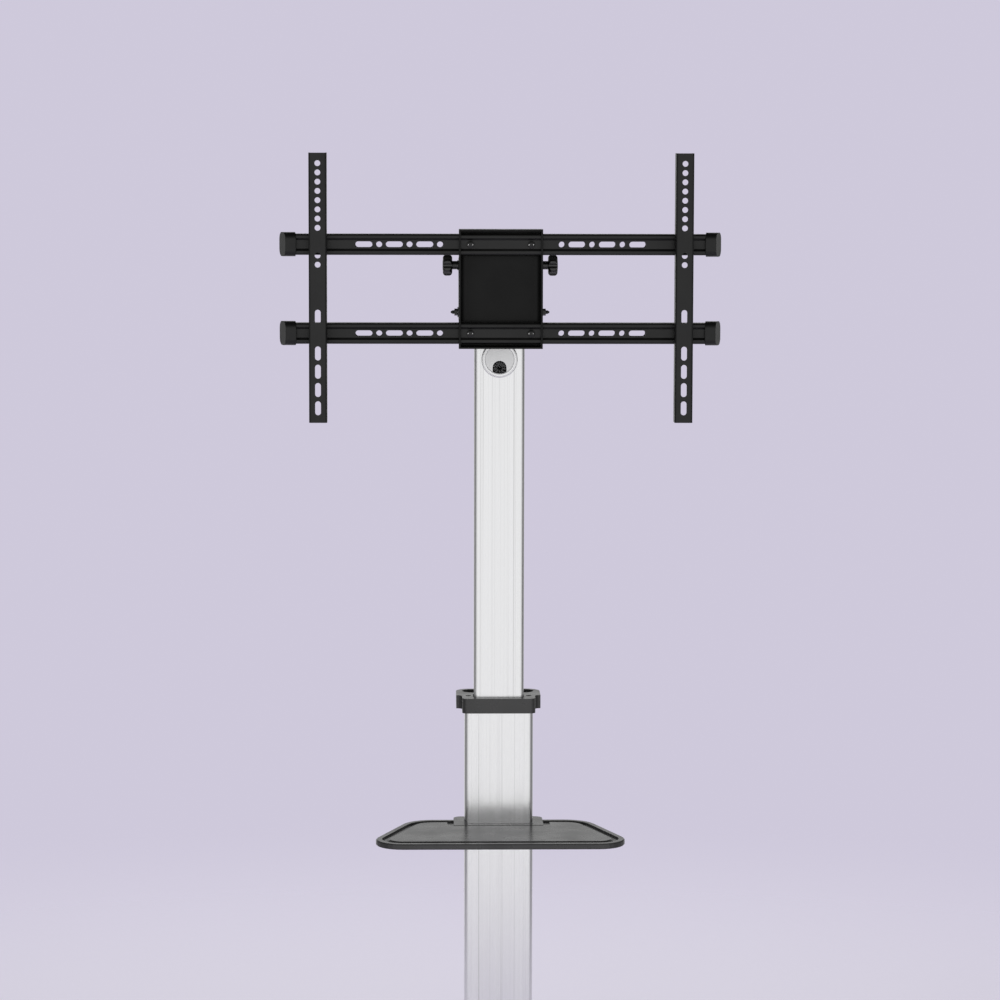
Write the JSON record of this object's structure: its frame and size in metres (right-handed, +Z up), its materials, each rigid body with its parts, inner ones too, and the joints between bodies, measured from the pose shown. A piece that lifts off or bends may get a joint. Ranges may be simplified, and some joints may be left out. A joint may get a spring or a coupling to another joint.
{
  "type": "mobile tv stand",
  "caption": "Wheeled stand with a two-stage lifting aluminium column, tilting cross-rail screen mount, collar with cable loop and a small shelf.",
  "frame": {"origin": "on the floor under the middle of the base", "axes": "+Z up, -Y towards the screen's side and the viewer, +X to the right seen from there"},
  "size_m": [0.86, 0.64, 1.8623],
  "materials": {
    "anodised_aluminium": "satin anodised, brushed along the column",
    "black_steel": "fine satin black powder coat",
    "black_plastic": "moulded, fine grain",
    "grey_plastic": "moulded dark grey, satin",
    "silver_plastic": "silver-grey satin",
    "natural_plastic": "natural white, low friction",
    "zinc_steel": "zinc plated",
    "black_zinc": "black zinc plated fasteners",
    "brass": "plain turned",
    "rubber": "soft matt",
    "tyre": "soft grey-black tread"
  },
  "bodies": {
    "base": {"outer_column": "anodised_aluminium", "guide_bush": "black_plastic", "collar": "grey_plastic", "collar_screws": "black_zinc", "lock_insert": "brass", "cable_exit_grommet": "rubber", "cross_beam": "black_steel", "base_legs": "black_steel", "leg_caps": "black_plastic", "foot_plate": "black_steel", "foot_screws": "black_zinc", "caster_stems": "zinc_steel"},
    "lift": {"inner_column": "anodised_aluminium", "guide_shoe": "black_plastic", "column_cap": "black_plastic", "outlet_ring": "silver_plastic", "column_bracket": "black_steel", "bracket_screws": "black_zinc", "bracket_nut_plate": "zinc_steel", "pivot_bolts": "black_zinc", "friction_washers": "natural_plastic"},
    "head": {"tilt_tray": "black_steel", "tilt_yoke": "black_steel", "upper_rail": "black_steel", "lower_rail": "black_steel", "rail_caps": "black_plastic", "arm_left": "black_steel", "arm_right": "black_steel", "rail_fasteners": "black_zinc", "arm_nut_blocks": "black_steel", "arm_bolts": "black_zinc"},
    "tilt_knob_l": {"tilt_knob_left": "black_plastic", "tilt_stud_left": "zinc_steel"},
    "tilt_knob_r": {"tilt_knob_right": "black_plastic", "tilt_stud_right": "zinc_steel"},
    "outlet_cover": {"outlet_disc": "silver_plastic", "outlet_petals": "rubber"},
    "height_lock": {"lock_knob": "black_plastic", "lock_stud": "zinc_steel"},
    "shelf_carriage": {"shelf": "grey_plastic", "shelf_clamp": "grey_plastic", "shelf_clamp_screws": "black_zinc"},
    "shelf_lock": {"shelf_knob": "black_plastic", "shelf_stud": "zinc_steel"},
    "caster_front_left": {"caster_fork_1": "zinc_steel"},
    "wheel_front_left": {"caster_hub_1": "grey_plastic", "caster_tyre_1": "tyre"},
    "brake_front_left": {"brake_pedal_1": "black_plastic"},
    "caster_front_right": {"caster_fork_2": "zinc_steel"},
    "wheel_front_right": {"caster_hub_2": "grey_plastic", "caster_tyre_2": "tyre"},
    "brake_front_right": {"brake_pedal_2": "black_plastic"},
    "caster_rear_left": {"caster_fork_3": "zinc_steel"},
    "wheel_rear_left": {"caster_hub_3": "grey_plastic", "caster_tyre_3": "tyre"},
    "brake_rear_left": {"brake_pedal_3": "black_plastic"},
    "caster_rear_right": {"caster_fork_4": "zinc_steel"},
    "wheel_rear_right": {"caster_hub_4": "grey_plastic", "caster_tyre_4": "tyre"},
    "brake_rear_right": {"brake_pedal_4": "black_plastic"}
  },
  "joints": [
    {"name": "column_lift", "type": "slide", "parent": "base", "child": "lift", "axis": [0, 0, 1], "range_m": [-0.5, 0]},
    {"name": "head_tilt", "type": "hinge", "parent": "lift", "child": "head", "pos_m": [0, 0.014, 1.5988], "axis": [1, 0, 0], "range_deg": [-5, 12]},
    {"name": "tilt_knob_left_turn", "type": "hinge", "parent": "lift", "child": "tilt_knob_l", "pos_m": [-0.087, 0.014, 1.6765], "axis": [-1, 0, 0], "range_deg": [-360, 0]},
    {"name": "tilt_knob_right_turn", "type": "hinge", "parent": "lift", "child": "tilt_knob_r", "pos_m": [0.087, 0.014, 1.6765], "axis": [1, 0, 0], "range_deg": [-360, 0]},
    {"name": "outlet_cover_turn", "type": "hinge", "parent": "lift", "child": "outlet_cover", "pos_m": [0, 0.0385, 1.5183], "axis": [0, -1, 0], "continuous": true},
    {"name": "height_lock_turn", "type": "hinge", "parent": "base", "child": "height_lock", "pos_m": [0, 0.1, 0.893], "axis": [0, 1, 0], "range_deg": [-360, 0]},
    {"name": "shelf_height", "type": "slide", "parent": "base", "child": "shelf_carriage", "axis": [0, 0, 1], "range_m": [-0.35, 0.12]},
    {"name": "shelf_lock_turn", "type": "hinge", "parent": "shelf_carriage", "child": "shelf_lock", "pos_m": [0, 0.11, 0.7155], "axis": [0, 1, 0], "range_deg": [-360, 0]},
    {"name": "swivel_front_left", "type": "hinge", "parent": "base", "child": "caster_front_left", "pos_m": [-0.4, -0.245, 0.084], "axis": [0, 0, 1], "continuous": true},
    {"name": "roll_front_left", "type": "hinge", "parent": "caster_front_left", "child": "wheel_front_left", "pos_m": [-0.4, -0.27, 0.0375], "axis": [1, 0, 0], "continuous": true},
    {"name": "brake_press_front_left", "type": "hinge", "parent": "caster_front_left", "child": "brake_front_left", "pos_m": [-0.4, -0.276, 0.08], "axis": [1, 0, 0], "range_deg": [0, 10]},
    {"name": "swivel_front_right", "type": "hinge", "parent": "base", "child": "caster_front_right", "pos_m": [0.4, -0.245, 0.084], "axis": [0, 0, 1], "continuous": true},
    {"name": "roll_front_right", "type": "hinge", "parent": "caster_front_right", "child": "wheel_front_right", "pos_m": [0.4, -0.27, 0.0375], "axis": [1, 0, 0], "continuous": true},
    {"name": "brake_press_front_right", "type": "hinge", "parent": "caster_front_right", "child": "brake_front_right", "pos_m": [0.4, -0.276, 0.08], "axis": [1, 0, 0], "range_deg": [0, 10]},
    {"name": "swivel_rear_left", "type": "hinge", "parent": "base", "child": "caster_rear_left", "pos_m": [-0.4, 0.245, 0.084], "axis": [0, 0, 1], "continuous": true},
    {"name": "roll_rear_left", "type": "hinge", "parent": "caster_rear_left", "child": "wheel_rear_left", "pos_m": [-0.4, 0.27, 0.0375], "axis": [1, 0, 0], "continuous": true},
    {"name": "brake_press_rear_left", "type": "hinge", "parent": "caster_rear_left", "child": "brake_rear_left", "pos_m": [-0.4, 0.276, 0.08], "axis": [-1, 0, 0], "range_deg": [0, 10]},
    {"name": "swivel_rear_right", "type": "hinge", "parent": "base", "child": "caster_rear_right", "pos_m": [0.4, 0.245, 0.084], "axis": [0, 0, 1], "continuous": true},
    {"name": "roll_rear_right", "type": "hinge", "parent": "caster_rear_right", "child": "wheel_rear_right", "pos_m": [0.4, 0.27, 0.0375], "axis": [1, 0, 0], "continuous": true},
    {"name": "brake_press_rear_right", "type": "hinge", "parent": "caster_rear_right", "child": "brake_rear_right", "pos_m": [0.4, 0.276, 0.08], "axis": [-1, 0, 0], "range_deg": [0, 10]}
  ]
}
